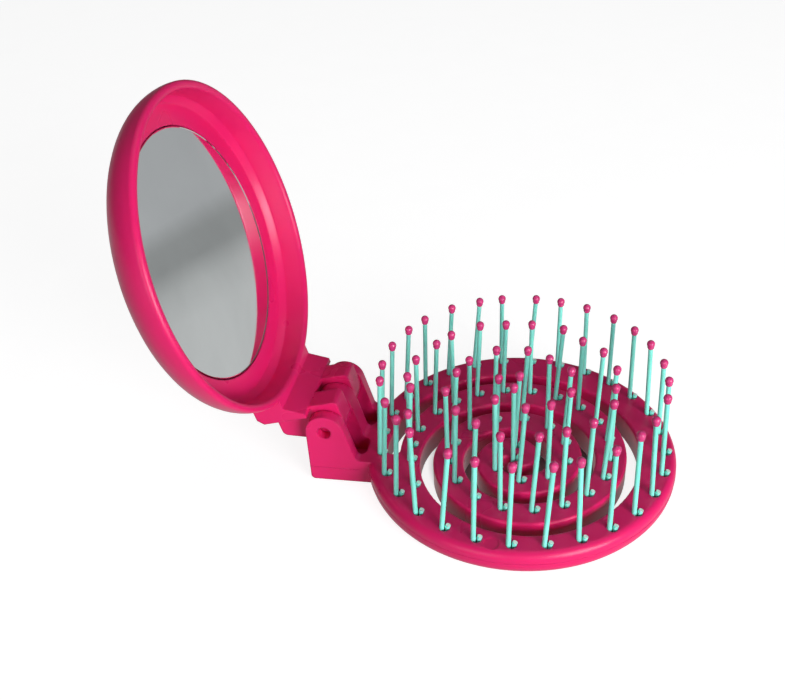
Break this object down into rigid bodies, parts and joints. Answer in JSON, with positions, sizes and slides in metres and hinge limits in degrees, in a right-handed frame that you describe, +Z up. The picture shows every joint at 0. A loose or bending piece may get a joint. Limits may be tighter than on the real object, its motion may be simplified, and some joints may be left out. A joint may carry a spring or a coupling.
{
  "type": "folding hairbrush with mirror",
  "caption": "Round folding hairbrush: ball-tipped bristles on a spiral-cut plate, under a hinged lid that holds a round mirror.",
  "frame": {"origin": "centre of the round brush plate, on its underside", "axes": "+X from the hinge towards the plate's centre, +Y along the hinge axis, +Z up out of the plate, the way the bristles point"},
  "size_m": [0.1048, 0.0654, 0.0809],
  "materials": {
    "pink_plastic": "glossy moulded plastic",
    "mint_nylon": "smooth nylon filament",
    "tip_resin": "glossy dipped resin",
    "steel": "plain steel wire",
    "mirror_glass": "silvered glass",
    "mirror_paint": "protective paint",
    "adhesive": "double-sided adhesive foam"
  },
  "bodies": {
    "brush": {"brush_plate": "pink_plastic", "ring_bristles": "mint_nylon", "arm_outer_bristles": "mint_nylon", "arm_second_bristles": "mint_nylon", "arm_third_bristles": "mint_nylon", "arm_centre_bristles": "mint_nylon", "ring_tips": "tip_resin", "arm_outer_tips": "tip_resin", "arm_second_tips": "tip_resin", "arm_third_tips": "tip_resin", "arm_centre_tips": "tip_resin", "ring_anchors": "steel", "arm_outer_anchors": "steel", "arm_second_anchors": "steel", "arm_third_anchors": "steel", "arm_centre_anchors": "steel", "hinge_pin": "pink_plastic"},
    "lid": {"lid_shell": "pink_plastic", "mirror_glass": "mirror_glass", "mirror_backing": "mirror_paint", "mirror_pad": "adhesive"}
  },
  "joints": [
    {"name": "lid_hinge", "type": "hinge", "parent": "brush", "child": "lid", "pos_m": [-0.03985, 0, 0.0126], "axis": [0, -1, 0], "range_deg": [-105.1, 5]}
  ]
}
